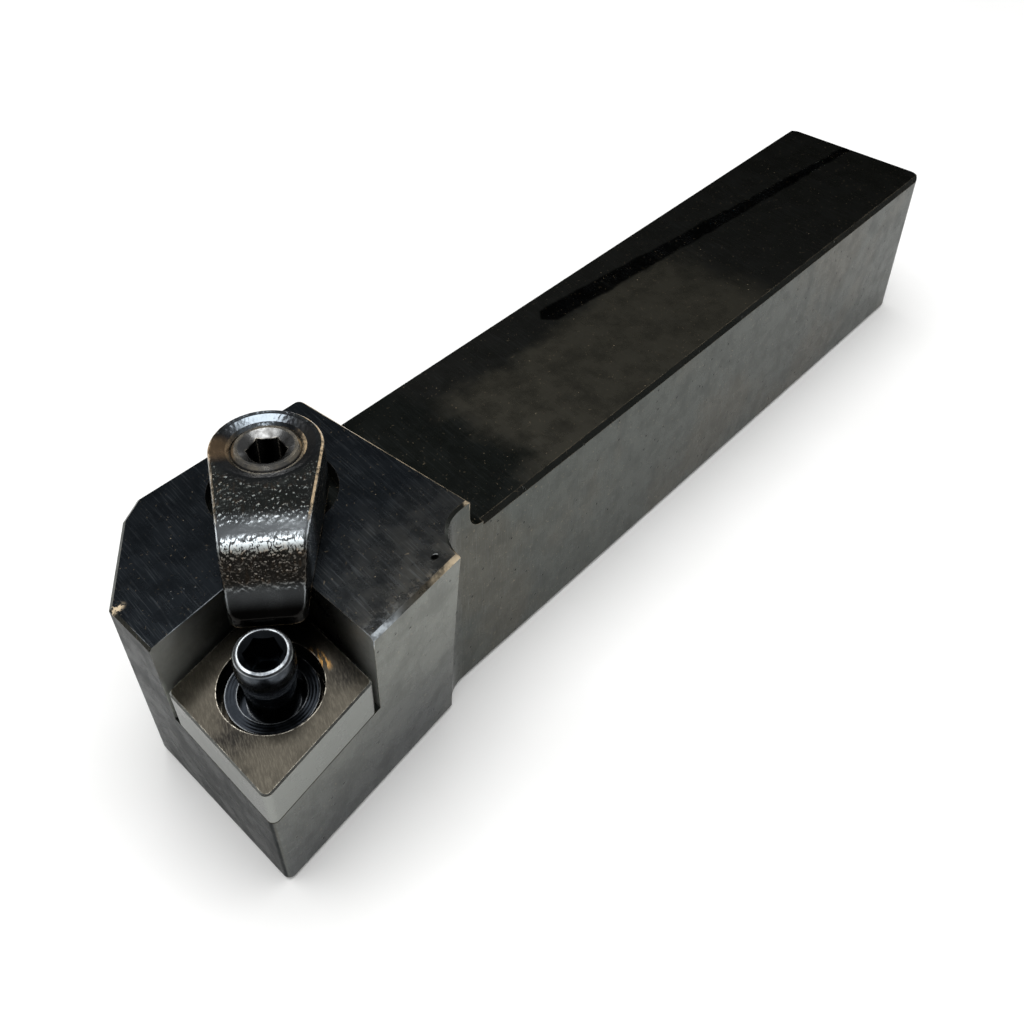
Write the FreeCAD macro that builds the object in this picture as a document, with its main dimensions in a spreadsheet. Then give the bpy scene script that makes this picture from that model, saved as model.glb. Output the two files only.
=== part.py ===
import FreeCAD, Part
import math
import os
import Sketcher

# Turning tool holder, sizes in millimetres.
# Holder frame: X runs from the tail to the cutting corner, Z is up, the origin is
# in the middle of the shank's bottom face.

os.makedirs("parts", exist_ok=True)
doc = FreeCAD.newDocument("ToolHolder")

# Driving sizes: word, value, meaning. Lengths along the tool are from the tail face,
# lengths across it from the shank's far side face.
SIZES = [
    ("shank_width", "25", "shank across"),
    ("shank_height", "25", "shank from bottom to top"),
    ("tail_to_origin", "55", "tail face to the origin"),
    ("tail_round", "2", "round of the upright tail edges"),
    ("long_bevel", "0.6", "bevel of the long shank edges"),
    ("rear_land", "5.7", "head's rear face to the clamp's recess"),
    ("head_rise", "4.8", "head's top face above the shank"),
    ("step_round", "2.3", "hollow round at the foot of the head's rear face"),
    ("far_overhang", "2.4", "head standing out past the far shank side"),
    ("far_round", "1.2", "hollow round between shank and far overhang"),
    ("rear_round", "1", "round of the head's far rear edge"),
    ("near_back", "6.9", "head's rear face to the start of the near overhang"),
    ("near_round", "5.4", "hollow round between shank and near overhang"),
    ("far_facet_length", "12.5", "small far facet to the seat floor's corner"),
    ("far_chamfer_length", "9.3", "long far chamfer to the seat floor's corner"),
    ("far_chamfer_out", "0.7", "chamfer start past the far shank side"),
    ("far_chamfer_angle", "47.2", "long far chamfer against the tool's length"),
    ("head_bevel", "0.35", "broken edge round the head's top"),
    ("near_bevel", "0.5", "worn edge between the head's top and its near flank"),
    ("foot_bevel", "0.6", "bevel of the bottom edges"),
    ("corner_along", "149", "tail face to the seat floor's corner"),
    ("corner_out", "6.1", "near shank side out to the seat floor's corner"),
    ("corner_down", "10.5", "shank top down to the seat floor's corner"),
    ("corner_round", "0.8", "round of the upright nose edge and of the shim's corners"),
    ("flank_clearance", "6", "lean of both flanks and fall of the seat floor"),
    ("insert_angle", "80", "corner angle of the rhombic insert and shim"),
    ("insert_circle", "15.875", "inscribed circle of the insert and shim"),
    ("seat_gap", "0.55", "seat walls to the shim"),
    ("cut_reach", "48", "reach of the cutting outlines past the head"),
    ("shim_thickness", "6.35", "shim from floor to top"),
    ("shim_bevel", "0.2", "broken edges of the shim"),
    ("shim_hole_radius", "5.5", "wide upper bore of the shim"),
    ("shim_ledge_up", "2.75", "floor to the ledge in the shim"),
    ("pin_thread_radius", "2.95", "lock pin's threaded shank"),
    ("pin_thread_fit", "0.05", "air round the lock pin's shank in the holder"),
    ("pin_shim_fit", "0.35", "air round the lock pin's shank in the shim"),
    ("pin_thread_depth", "8", "lock pin below the seat floor"),
    ("pin_hole_spare", "1.5", "threaded hole deeper than the pin"),
    ("collar_radius", "4.85", "lock pin's collar"),
    ("collar_sunk", "1.2", "shim top down to the collar's top"),
    ("collar_groove_radius", "3.6", "groove in the collar round the neck"),
    ("collar_groove_depth", "1.6", "depth of that groove"),
    ("neck_radius", "2.75", "lock pin's neck"),
    ("pin_shoulder_radius", "2.98", "upper end of the barrel head"),
    ("pin_head_up", "6.8", "shim top to the pin's top"),
    ("barrel_length", "4.2", "length of the barrel head"),
    ("barrel_curve", "9", "radius of the barrel's side"),
    ("pin_top_round", "0.45", "round of the pin's top edge"),
    ("pin_key", "3.5", "lock pin's hexagon across flats"),
    ("pin_key_depth", "4.5", "depth of that hexagon"),
    ("pin_key_mouth", "2.42", "radius of its coned mouth"),
    ("screw_back", "23.2", "seat floor's corner back to the clamp screw"),
    ("screw_in", "23.6", "seat floor's corner across to the clamp screw"),
    ("recess_radius", "7.3", "round recess under the clamp"),
    ("recess_depth", "2", "depth of the recess below the head's top"),
    ("front_recess_radius", "5.4", "second round of the recess"),
    ("front_recess_reach", "6.9", "screw to the second round"),
    ("screw_radius", "3.95", "clamp screw's thread"),
    ("screw_fit", "0.05", "air round the clamp screw"),
    ("screw_depth", "16.2", "recess floor down to the screw's end"),
    ("screw_hole_spare", "1.8", "threaded hole deeper than the screw"),
    ("screw_sunk", "0.15", "clamp top down to the screw's end"),
    ("screw_end_radius", "3.4", "screw radius at its chamfered ends"),
    ("screw_waist_radius", "3.1", "plain waist between the two threads"),
    ("screw_waist_length", "2", "length of the waist"),
    ("screw_key", "4", "clamp screw's hexagon across flats"),
    ("screw_key_depth", "5.5", "depth of that hexagon"),
    ("screw_key_mouth", "3.05", "radius of its coned mouth"),
    ("key_mouth_slope", "35", "slope of both coned mouths"),
    ("clamp_turn", "47", "clamp's direction against the tool's length"),
    ("clamp_radius", "6.2", "round rear end of the clamp"),
    ("clamp_taper", "7.2", "half taper of the clamp's sides"),
    ("clamp_reach", "19.6", "screw to the clamp's tip"),
    ("clamp_height", "8.4", "recess floor to the clamp's top"),
    ("clamp_under", "2.3", "recess floor to the clamp's underside"),
    ("heel_radius", "5.4", "round heel standing in the recess"),
    ("pad_start", "15.8", "screw to the pressing pad"),
    ("tip_under", "1.5", "recess floor to the pad's tip edge"),
    ("tip_face", "1.1", "height of the tip's front face"),
    ("nose_fall", "52", "fall of the nose's front slope"),
    ("bend_radius", "3.4", "bend between top and front slope"),
    ("tip_round", "1.4", "round of the tip's upright edges"),
    ("clamp_edge_round", "0.5", "worn round of the clamp's upper edges"),
    ("dish_radius", "5.3", "shallow dish round the screw"),
    ("dish_depth", "0.3", "depth of the dish"),
    ("mouth_radius", "4.35", "coned mouth of the clamp's bore"),
]

# Sizes worked out from the driving ones.
WORKED_OUT = [
    ("screw_along", "=corner_along - screw_back"),
    ("head_start", "=screw_along - recess_radius - rear_land"),
    ("head_height", "=shank_height + head_rise"),
    ("near_start", "=head_start + near_back"),
    ("far_facet_start", "=corner_along - far_facet_length"),
    ("far_chamfer_start", "=corner_along - far_chamfer_length"),
    ("corner_across", "=shank_width + corner_out"),
    ("corner_up", "=shank_height - corner_down"),
    ("screw_across", "=corner_across - screw_in"),
    ("seat_lean", "=-atan(sqrt(2) * tan(flank_clearance * 1deg))"),
    ("seat_turn", "=225deg"),
    ("half_angle", "=insert_angle * 0.5deg"),
    ("outer_along", "=corner_along + 4"),
    ("outer_across", "=corner_across + 4"),
    ("chamfer_far_end", "=(outer_along - far_chamfer_start) * tan(far_chamfer_angle * 1deg) - far_chamfer_out"),
    ("shank_end", "=head_start + 3"),
    ("bevel_up", "=shank_height - long_bevel"),
    ("bevel_across", "=shank_width - long_bevel"),
    ("bevel_end", "=head_start - step_round"),
    ("step_top", "=shank_height + step_round"),
    ("cut_span", "=2 * cut_reach"),
    ("cut_along", "=cut_reach * cos(half_angle)"),
    ("cut_across", "=cut_reach * sin(half_angle)"),
    ("wall_corner", "=(insert_circle + seat_gap) / sin(half_angle)"),
    ("wall_end_along", "=wall_corner - cut_reach * cos(half_angle)"),
    ("shim_side", "=insert_circle / sin(insert_angle * 1deg)"),
    ("shim_side_along", "=shim_side * cos(half_angle)"),
    ("shim_side_across", "=shim_side * sin(half_angle)"),
    ("shim_far_corner", "=2 * shim_side_along"),
    ("pin_reach", "=0.5 * insert_circle / sin(half_angle)"),
    ("pin_hole_radius", "=pin_thread_radius + pin_thread_fit"),
    ("pin_hole_depth", "=pin_thread_depth + pin_hole_spare"),
    ("shim_pin_radius", "=pin_thread_radius + pin_shim_fit"),
    ("shim_bore_depth", "=shim_thickness - shim_ledge_up"),
    ("collar_top", "=shim_thickness - collar_sunk"),
    ("groove_floor", "=collar_top - collar_groove_depth"),
    ("pin_top", "=shim_thickness + pin_head_up"),
    ("barrel_foot", "=pin_top - pin_top_round - barrel_length"),
    ("pin_shoulder", "=pin_top - pin_top_round"),
    ("pin_crown_radius", "=pin_shoulder_radius - pin_top_round"),
    ("pin_mouth_foot", "=pin_top - pin_key_mouth * tan(key_mouth_slope * 1deg)"),
    ("pin_end_radius", "=pin_thread_radius - 0.55"),
    ("pin_end_chamfer", "=pin_thread_depth - 0.55"),
    ("recess_floor", "=head_height - recess_depth"),
    ("front_along", "=screw_along + front_recess_reach * cos(clamp_turn * 1deg)"),
    ("front_across", "=screw_across + front_recess_reach * sin(clamp_turn * 1deg)"),
    ("screw_hole_radius", "=screw_radius + screw_fit"),
    ("screw_hole_depth", "=recess_depth + screw_depth + screw_hole_spare"),
    ("screw_top", "=clamp_height - screw_sunk"),
    ("screw_mouth_foot", "=screw_top - screw_key_mouth * tan(key_mouth_slope * 1deg)"),
    ("screw_chamfer", "=screw_radius - screw_end_radius"),
    ("screw_top_edge", "=screw_top - screw_chamfer"),
    ("screw_low_edge", "=screw_depth - screw_chamfer"),
    ("waist_top", "=0.5 * screw_waist_length"),
    ("tangent_along", "=clamp_radius * sin(clamp_taper * 1deg)"),
    ("tangent_across", "=clamp_radius * cos(clamp_taper * 1deg)"),
    ("tip_half_width", "=tangent_across - (clamp_reach - tangent_along) * tan(clamp_taper * 1deg)"),
    ("tip_top", "=tip_under + tip_face"),
    ("slope_start", "=clamp_reach - (clamp_height - tip_top) / tan(nose_fall * 1deg)"),
    ("bend_run", "=bend_radius * tan(nose_fall * 0.5deg)"),
    ("bend_start", "=slope_start - bend_run"),
    ("bend_end", "=slope_start + bend_run * cos(nose_fall * 1deg)"),
    ("bend_end_up", "=clamp_height - bend_run * sin(nose_fall * 1deg)"),
    ("past_tip", "=clamp_reach + 3"),
    ("past_tip_up", "=tip_top - 3 * tan(nose_fall * 1deg)"),
    ("over_top", "=clamp_height + 5"),
    ("pad_start_up", "=tip_under + (clamp_reach - pad_start) * tan(-seat_lean)"),
    ("past_tip_under", "=tip_under - 3 * tan(-seat_lean)"),
    ("past_rear", "=clamp_radius + 3"),
    ("dish_floor", "=clamp_height - dish_depth"),
    ("mouth_foot", "=dish_floor - mouth_radius + screw_hole_radius"),
]

sheet = doc.addObject("Spreadsheet::Sheet", "Sizes")
row = 1
for word, number, meaning in SIZES:
    sheet.set("A%d" % row, word)
    sheet.set("B%d" % row, number)
    sheet.set("C%d" % row, meaning)
    sheet.setAlias("B%d" % row, word)
    row += 1
for word, formula in WORKED_OUT:
    sheet.set("A%d" % row, word)
    sheet.setAlias("B%d" % row, word)
    sheet.set("B%d" % row, formula)
    row += 1
doc.recompute()


def amount(word):
    """Number behind a sheet word, with an optional minus sign."""
    if word == "0":
        return 0.0
    found = sheet.get(word.lstrip("-"))
    plain = float(found.Value) if hasattr(found, "Value") else float(found)
    return -plain if word.startswith("-") else plain


def bound(word):
    """Expression that reads a sheet word."""
    if word.startswith("-"):
        return "-Sizes." + word[1:]
    return "Sizes." + word


def new_body(name):
    body = doc.addObject("PartDesign::Body", name)
    body.Label = name
    return body


def new_sketch(body, name, plane="XY_Plane", lift=None, tilted=False):
    """Sketch on one of the body's own origin planes, lifted or laid in the seat floor."""
    sketch = body.newObject("Sketcher::SketchObject", name)
    support = [item for item in body.Origin.OriginFeatures if item.Role == plane][0]
    sketch.AttachmentSupport = (support, [""])
    sketch.MapMode = "FlatFace"
    if lift:
        sketch.setExpression("AttachmentOffset.Base.z", bound(lift))
    if tilted:
        sketch.setExpression(
            "AttachmentOffset",
            "placement(vector(Sizes.corner_along; Sizes.corner_across; Sizes.corner_up);"
            " rotation(Sizes.seat_turn; Sizes.seat_lean; 0))")
    return sketch


def fix(sketch, kind, where, word):
    """Sheet-driven distance; zero distances tie the point to the axis instead."""
    value = amount(word)
    if word == "0":
        axis = -2 if kind == "DistanceX" else -1
        sketch.addConstraint(Sketcher.Constraint("PointOnObject", where[0], where[1], axis))
        return
    index = sketch.addConstraint(Sketcher.Constraint(kind, -1, 1, where[0], where[1], value))
    sketch.setExpression("Constraints[%d]" % index, bound(word))


def draw_outline(sketch, corners):
    """Closed outline. A corner is (across, up) or (across, up, radius, turn); the arc with
    that radius runs from this corner to the next, turn +1 bends it left and -1 right."""
    points = [FreeCAD.Vector(amount(c[0]), amount(c[1]), 0) for c in corners]
    ends = []
    for i, corner in enumerate(corners):
        start = points[i]
        stop = points[(i + 1) % len(points)]
        if len(corner) == 2:
            index = sketch.addGeometry(Part.LineSegment(start, stop), False)
            ends.append(((index, 1), (index, 2)))
            continue
        radius = amount(corner[2])
        turn = corner[3]
        chord = stop - start
        half = 0.5 * chord.Length
        side = FreeCAD.Vector(-chord.y, chord.x, 0).normalize() * turn
        centre = (start + stop) * 0.5 + side * math.sqrt(max(radius * radius - half * half, 0))
        first, last = (start, stop) if turn > 0 else (stop, start)
        a = math.atan2(first.y - centre.y, first.x - centre.x)
        b = math.atan2(last.y - centre.y, last.x - centre.x)
        circle = Part.Circle(centre, FreeCAD.Vector(0, 0, 1), radius)
        index = sketch.addGeometry(Part.ArcOfCircle(circle, a, b), False)
        ends.append(((index, 1), (index, 2)) if turn > 0 else ((index, 2), (index, 1)))
    count = len(ends)
    for i in range(count):
        here = ends[i][1]
        following = ends[(i + 1) % count][0]
        sketch.addConstraint(Sketcher.Constraint("Coincident", here[0], here[1], following[0], following[1]))
    for i, corner in enumerate(corners):
        fix(sketch, "DistanceX", ends[i][0], corner[0])
        fix(sketch, "DistanceY", ends[i][0], corner[1])
        if len(corner) > 2:
            index = sketch.addConstraint(Sketcher.Constraint("Radius", ends[i][0][0], amount(corner[2])))
            sketch.setExpression("Constraints[%d]" % index, bound(corner[2]))


def draw_circle(sketch, across, up, radius):
    centre = FreeCAD.Vector(amount(across), amount(up), 0)
    circle = Part.Circle(centre, FreeCAD.Vector(0, 0, 1), amount(radius))
    index = sketch.addGeometry(circle, False)
    fix(sketch, "DistanceX", (index, 3), across)
    fix(sketch, "DistanceY", (index, 3), up)
    size = sketch.addConstraint(Sketcher.Constraint("Radius", index, amount(radius)))
    sketch.setExpression("Constraints[%d]" % size, bound(radius))


def draw_hexagon(sketch, flats):
    """Regular hexagon about the sketch origin, a corner on the sketch's upright axis."""
    reach = amount(flats) / math.sqrt(3)
    turns = [math.radians(60 * i + 30) for i in range(6)]
    points = [FreeCAD.Vector(reach * math.cos(turn), reach * math.sin(turn), 0) for turn in turns]
    for i in range(6):
        sketch.addGeometry(Part.LineSegment(points[i], points[(i + 1) % 6]), False)
    for i in range(6):
        sketch.addConstraint(Sketcher.Constraint("Coincident", i, 2, (i + 1) % 6, 1))
    ring = sketch.addGeometry(Part.Circle(FreeCAD.Vector(0, 0, 0), FreeCAD.Vector(0, 0, 1), reach), True)
    sketch.addConstraint(Sketcher.Constraint("Coincident", ring, 3, -1, 1))
    for i in range(6):
        sketch.addConstraint(Sketcher.Constraint("PointOnObject", i, 1, ring))
    for i in range(5):
        sketch.addConstraint(Sketcher.Constraint("Equal", i, i + 1))
    sketch.addConstraint(Sketcher.Constraint("PointOnObject", 1, 1, -2))
    size = sketch.addConstraint(Sketcher.Constraint("Radius", ring, reach))
    sketch.setExpression("Constraints[%d]" % size, bound(flats) + " / sqrt(3)")


def pad(body, name, sketch, length, reverse=False):
    feature = body.newObject("PartDesign::Pad", name)
    feature.Profile = sketch
    feature.setExpression("Length", bound(length))
    feature.Reversed = reverse
    return feature


def pocket(body, name, sketch, depth=None, upwards=False, both_ways=False):
    feature = body.newObject("PartDesign::Pocket", name)
    feature.Profile = sketch
    if depth:
        feature.setExpression("Length", bound(depth))
    else:
        feature.Type = "ThroughAll"
    feature.Reversed = upwards
    feature.Midplane = both_ways
    return feature


def turned(body, kind, name, sketch):
    """Revolution or groove about the sketch's upright axis."""
    feature = body.newObject(kind, name)
    feature.Profile = sketch
    feature.ReferenceAxis = (sketch, ["V_Axis"])
    feature.Angle = 360.0
    return feature


def edge_names(feature, wanted):
    names = []
    for i, edge in enumerate(feature.Shape.Edges):
        if wanted(edge):
            names.append("Edge%d" % (i + 1))
    return names


def dress(body, kind, name, feature, wanted, word):
    """Fillet or chamfer on the edges that satisfy the test."""
    doc.recompute()
    trim = body.newObject("PartDesign::" + kind, name)
    trim.Base = (feature, edge_names(feature, wanted))
    trim.setExpression("Radius" if kind == "Fillet" else "Size", bound(word))
    return trim


def near(a, b):
    return abs(a - b) < 0.01


def upright_at(edge, along, across):
    box = edge.BoundBox
    return (near(box.XMin, along) and near(box.XMax, along) and near(box.YMin, across)
            and near(box.YMax, across) and box.ZLength > 3)


# Holder: square shank with a head that carries the tilted seat
holder = new_body("holder_body")
holder.setExpression("Placement.Base.x", "-Sizes.tail_to_origin")
holder.setExpression("Placement.Base.y", "-0.5 * Sizes.shank_width")

sketch = new_sketch(holder, "ShankSection", "YZ_Plane")
draw_outline(sketch, [("0", "0"), ("shank_width", "0"), ("shank_width", "shank_height"), ("0", "shank_height")])
shank = pad(holder, "Shank", sketch, "shank_end")

sketch = new_sketch(holder, "HeadOutline")
draw_outline(sketch, [
    ("head_start", "-far_overhang"),
    ("far_facet_start", "-far_overhang"),
    ("far_chamfer_start", "-far_chamfer_out"),
    ("outer_along", "chamfer_far_end"),
    ("outer_along", "outer_across"),
    ("near_start", "outer_across"),
    ("near_start", "shank_width"),
    ("head_start", "shank_width"),
])
head = pad(holder, "Head", sketch, "head_height")

# Hollow rounds where the head grows out of the shank's sides
trim = dress(holder, "Fillet", "NearRound", head,
             lambda e: upright_at(e, amount("near_start"), amount("shank_width")), "near_round")
trim = dress(holder, "Fillet", "FarRound", trim,
             lambda e: upright_at(e, amount("head_start"), 0), "far_round")
trim = dress(holder, "Fillet", "RearRound", trim,
             lambda e: upright_at(e, amount("head_start"), -amount("far_overhang")), "rear_round")
# Hollow round at the foot of the head's rear face
sketch = new_sketch(holder, "StepProfile", "XZ_Plane")
draw_outline(sketch, [
    ("bevel_end", "shank_height", "step_round", 1),
    ("head_start", "step_top"),
    ("shank_end", "step_top"),
    ("shank_end", "bevel_up"),
    ("bevel_end", "bevel_up"),
])
trim = pad(holder, "StepRound", sketch, "shank_width", reverse=True)
trim = dress(holder, "Fillet", "TailRound", trim,
             lambda e: upright_at(e, 0, 0) or upright_at(e, 0, amount("shank_width")), "tail_round")

# Long bevels of the shank's upper edges, run out where the step begins
sketch = new_sketch(holder, "FarBevel", "YZ_Plane")
draw_outline(sketch, [("0", "bevel_up"), ("long_bevel", "shank_height"), ("0", "shank_height")])
pocket(holder, "FarLongBevel", sketch, "bevel_end", upwards=True)
sketch = new_sketch(holder, "NearBevel", "YZ_Plane")
draw_outline(sketch, [
    ("bevel_across", "shank_height"),
    ("shank_width", "bevel_up"),
    ("shank_width", "shank_height"),
])
pocket(holder, "NearLongBevel", sketch, "bevel_end", upwards=True)

# Flanks: everything outside the insert's two cutting sides is cut away along the tilted axis
sketch = new_sketch(holder, "FlankOutline", tilted=True)
draw_outline(sketch, [
    ("0", "0"),
    ("cut_along", "cut_across"),
    ("-cut_along", "cut_reach"),
    ("-cut_along", "-cut_reach"),
    ("cut_along", "-cut_across"),
])
pocket(holder, "Flanks", sketch, "cut_span", both_ways=True)
doc.recompute()


def nose_edge(edge):
    box = edge.BoundBox
    return (box.ZLength > 10 and near(box.XMax - box.XMin, box.YMax - box.YMin)
            and box.XMax > amount("corner_along") - 0.5)


flanks = holder.Tip
trim = dress(holder, "Fillet", "NoseRound", flanks, nose_edge, "corner_round")

# Seat for shim and insert: floor square to the tilted axis, two walls behind it
sketch = new_sketch(holder, "SeatOutline", tilted=True)
draw_outline(sketch, [
    ("wall_corner", "0"),
    ("wall_end_along", "cut_across"),
    ("-cut_along", "cut_across"),
    ("-cut_along", "-cut_across"),
    ("wall_end_along", "-cut_across"),
])
pocket(holder, "Seat", sketch, upwards=True)

sketch = new_sketch(holder, "LockPinHole", tilted=True)
draw_circle(sketch, "pin_reach", "0", "pin_hole_radius")
pocket(holder, "LockPinThread", sketch, "pin_hole_depth")

# Keyhole recess for the clamp and the threaded hole in its middle
sketch = new_sketch(holder, "RecessRound", lift="head_height")
draw_circle(sketch, "screw_along", "screw_across", "recess_radius")
pocket(holder, "Recess", sketch, "recess_depth")
sketch = new_sketch(holder, "RecessFront", lift="head_height")
draw_circle(sketch, "front_along", "front_across", "front_recess_radius")
pocket(holder, "FrontRecess", sketch, "recess_depth")
sketch = new_sketch(holder, "ClampScrewHole", lift="head_height")
draw_circle(sketch, "screw_along", "screw_across", "screw_hole_radius")
last = pocket(holder, "ClampScrewThread", sketch, "screw_hole_depth")

# Bevels of the bottom outline and of the rim of the head
last = dress(holder, "Chamfer", "FootBevel", last,
             lambda e: near(e.BoundBox.ZMax, 0) and near(e.BoundBox.ZMin, 0), "foot_bevel")


def head_rim(edge):
    box = edge.BoundBox
    if not (near(box.ZMax, amount("head_height")) and near(box.ZLength, 0)):
        return False
    middle = edge.valueAt(0.5 * (edge.FirstParameter + edge.LastParameter))
    rear = near(box.XMax, amount("head_start"))
    far = near(box.YMax, -amount("far_overhang"))
    near_side = middle.y > amount("shank_width") - 0.02 and middle.x < amount("near_start")
    front = middle.x > amount("corner_along") - 1.5 and middle.y < amount("corner_across") - 14
    corner = middle.x > amount("far_facet_start") and middle.y < amount("corner_across") - 22
    return rear or far or near_side or front or corner


def near_rim(edge):
    box = edge.BoundBox
    return (near(box.ZMin, amount("head_height")) and box.XMax < amount("corner_along") - 10
            and box.XMin > amount("near_start") - 1 and box.YMin > amount("shank_width"))


last = dress(holder, "Chamfer", "HeadBevel", last, head_rim, "head_bevel")
last = dress(holder, "Chamfer", "NearRimBevel", last, near_rim, "near_bevel")

# Shim: rhombic plate with a stepped bore, lying in the seat
SEAT_PLACE = ("placement(vector(Sizes.corner_along - Sizes.tail_to_origin;"
              " Sizes.corner_across - 0.5 * Sizes.shank_width; Sizes.corner_up);"
              " rotation(Sizes.seat_turn; Sizes.seat_lean; 0))")
shim = new_body("shim")
shim.setExpression("Placement", SEAT_PLACE)
sketch = new_sketch(shim, "ShimOutline")
draw_outline(sketch, [
    ("0", "0"),
    ("shim_side_along", "-shim_side_across"),
    ("shim_far_corner", "0"),
    ("shim_side_along", "shim_side_across"),
])
plate = pad(shim, "ShimPlate", sketch, "shim_thickness")
plate = dress(shim, "Fillet", "ShimCorners", plate,
              lambda e: near(e.BoundBox.ZLength, amount("shim_thickness")), "corner_round")
plate = dress(shim, "Chamfer", "ShimEdges", plate,
              lambda e: near(e.BoundBox.ZLength, 0), "shim_bevel")
sketch = new_sketch(shim, "ShimBore")
draw_circle(sketch, "pin_reach", "0", "shim_pin_radius")
pocket(shim, "ShimPinBore", sketch, upwards=True)
sketch = new_sketch(shim, "ShimWideBore", lift="shim_thickness")
draw_circle(sketch, "pin_reach", "0", "shim_hole_radius")
pocket(shim, "ShimCollarBore", sketch, "shim_bore_depth")

# Lock pin: thread, collar with a groove, neck and barrel-shaped head in one turned piece
pin = new_body("lock_pin")
pin.setExpression("Placement", SEAT_PLACE + " * placement(vector(Sizes.pin_reach; 0; 0); rotation(0; 0; 0))")
sketch = new_sketch(pin, "PinProfile", "XZ_Plane")
draw_outline(sketch, [
    ("0", "-pin_thread_depth"),
    ("pin_end_radius", "-pin_thread_depth"),
    ("pin_thread_radius", "-pin_end_chamfer"),
    ("pin_thread_radius", "shim_ledge_up"),
    ("collar_radius", "shim_ledge_up"),
    ("collar_radius", "collar_top"),
    ("collar_groove_radius", "collar_top"),
    ("collar_groove_radius", "groove_floor"),
    ("neck_radius", "groove_floor"),
    ("neck_radius", "barrel_foot", "barrel_curve", 1),
    ("pin_shoulder_radius", "pin_shoulder", "pin_top_round", 1),
    ("pin_crown_radius", "pin_top"),
    ("0", "pin_top"),
])
turned(pin, "PartDesign::Revolution", "PinTurned", sketch)
sketch = new_sketch(pin, "PinKey", lift="pin_top")
draw_hexagon(sketch, "pin_key")
pocket(pin, "PinKeySocket", sketch, "pin_key_depth")
sketch = new_sketch(pin, "PinMouth", "XZ_Plane")
draw_outline(sketch, [("0", "pin_mouth_foot"), ("pin_key_mouth", "pin_top"), ("0", "pin_top")])
turned(pin, "PartDesign::Groove", "PinKeyMouth", sketch)

# Clamp: forged finger, flat on top, bent down to a pressing pad at the tip
CLAMP_PLACE = ("placement(vector(Sizes.screw_along - Sizes.tail_to_origin;"
               " Sizes.screw_across - 0.5 * Sizes.shank_width; Sizes.recess_floor);"
               " rotation(Sizes.clamp_turn; 0; 0))")
clamp = new_body("clamp")
clamp.setExpression("Placement", CLAMP_PLACE)
sketch = new_sketch(clamp, "ClampOutline")
draw_outline(sketch, [
    ("tangent_along", "tangent_across", "clamp_radius", 1),
    ("-clamp_radius", "0", "clamp_radius", 1),
    ("tangent_along", "-tangent_across"),
    ("clamp_reach", "-tip_half_width"),
    ("clamp_reach", "tip_half_width"),
])
block = pad(clamp, "ClampBlock", sketch, "clamp_height")
block = dress(clamp, "Fillet", "TipRound", block,
              lambda e: near(e.BoundBox.XMin, amount("clamp_reach"))
              and near(e.BoundBox.ZLength, amount("clamp_height")), "tip_round")
sketch = new_sketch(clamp, "NoseProfile", "XZ_Plane")
draw_outline(sketch, [
    ("bend_start", "clamp_height", "bend_radius", -1),
    ("bend_end", "bend_end_up"),
    ("past_tip", "past_tip_up"),
    ("past_tip", "over_top"),
    ("bend_start", "over_top"),
])
block = pocket(clamp, "NoseSlope", sketch, both_ways=True)
sketch = new_sketch(clamp, "UnderProfile", "XZ_Plane")
draw_outline(sketch, [
    ("-past_rear", "clamp_under"),
    ("-past_rear", "-clamp_under"),
    ("past_tip", "-clamp_under"),
    ("past_tip", "past_tip_under"),
    ("pad_start", "pad_start_up"),
    ("pad_start", "clamp_under"),
])
block = pocket(clamp, "UnderCut", sketch, both_ways=True)
doc.recompute()


def clamp_upper(edge):
    box = edge.BoundBox
    middle = edge.valueAt(0.5 * (edge.FirstParameter + edge.LastParameter))
    return box.ZMin > amount("tip_top") - 0.01 and box.ZMax > amount("tip_top") + 0.5 and (
        abs(middle.y) > amount("tip_half_width") - amount("tip_round") - 0.1 or middle.x < 0)


block = dress(clamp, "Fillet", "UpperEdges", block, clamp_upper, "clamp_edge_round")
sketch = new_sketch(clamp, "HeelOutline")
draw_circle(sketch, "0", "0", "heel_radius")
pad(clamp, "Heel", sketch, "clamp_under")
sketch = new_sketch(clamp, "ClampBore")
draw_circle(sketch, "0", "0", "screw_hole_radius")
pocket(clamp, "ClampThread", sketch, upwards=True)
sketch = new_sketch(clamp, "DishProfile", "XZ_Plane")
draw_outline(sketch, [
    ("0", "mouth_foot"),
    ("screw_hole_radius", "mouth_foot"),
    ("mouth_radius", "dish_floor"),
    ("dish_radius", "clamp_height"),
    ("dish_radius", "over_top"),
    ("0", "over_top"),
])
turned(clamp, "PartDesign::Groove", "Dish", sketch)

# Clamp screw: threaded both ends, hexagon in the upper one
screw = new_body("clamp_screw")
screw.setExpression("Placement", CLAMP_PLACE)
sketch = new_sketch(screw, "ScrewProfile", "XZ_Plane")
draw_outline(sketch, [
    ("0", "-screw_depth"),
    ("screw_end_radius", "-screw_depth"),
    ("screw_radius", "-screw_low_edge"),
    ("screw_radius", "-waist_top"),
    ("screw_waist_radius", "-waist_top"),
    ("screw_waist_radius", "waist_top"),
    ("screw_radius", "waist_top"),
    ("screw_radius", "screw_top_edge"),
    ("screw_end_radius", "screw_top"),
    ("0", "screw_top"),
])
turned(screw, "PartDesign::Revolution", "ScrewTurned", sketch)
sketch = new_sketch(screw, "ScrewKey", lift="screw_top")
draw_hexagon(sketch, "screw_key")
pocket(screw, "ScrewKeySocket", sketch, "screw_key_depth")
sketch = new_sketch(screw, "ScrewMouth", "XZ_Plane")
draw_outline(sketch, [("0", "screw_mouth_foot"), ("screw_key_mouth", "screw_top"), ("0", "screw_top")])
turned(screw, "PartDesign::Groove", "ScrewKeyMouth", sketch)

doc.recompute()

for item in doc.Objects:
    faults = [word for word in item.State if word in ("Invalid", "Error")]
    if faults:
        raise RuntimeError("%s is %s" % (item.Label, faults))

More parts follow.
